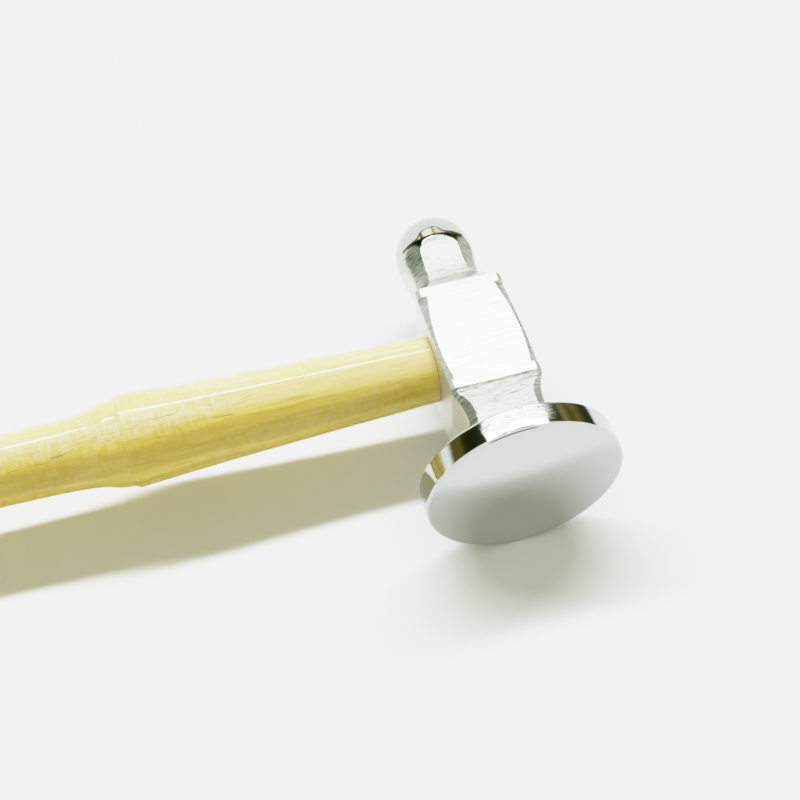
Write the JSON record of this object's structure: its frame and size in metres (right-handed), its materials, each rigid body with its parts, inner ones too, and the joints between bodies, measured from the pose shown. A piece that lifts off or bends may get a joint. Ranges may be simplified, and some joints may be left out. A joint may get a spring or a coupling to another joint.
{
  "type": "chasing hammer",
  "caption": "Light metalworking hammer with a wide mirror striking face, a ball peen on the other end and a turned hardwood handle with a pear-shaped grip.",
  "frame": {"origin": "on the upper cheek, straight above the centre of the eye; the head's axis and the handle's axis cross 8.4 mm below it", "axes": "+Z out of the upper cheek, -Y toward the striking face, +Y toward the ball, -X along the handle toward the grip"},
  "size_m": [0.245, 0.0568, 0.03],
  "materials": {
    "polished_head": "bright plated steel: mirror face, rim and ball, brushed cheeks, coarse milled necks",
    "lacquered_handle": "pale straight-grained hardwood under clear gloss lacquer",
    "hardwood_wedge": "darker raw hardwood, end grain showing",
    "steel_wedge": "plain steel with a hammered edge"
  },
  "bodies": {
    "root": {"head": "polished_head", "handle": "lacquered_handle", "wood_wedge": "hardwood_wedge", "steel_wedge": "steel_wedge"}
  },
  "joints": []
}
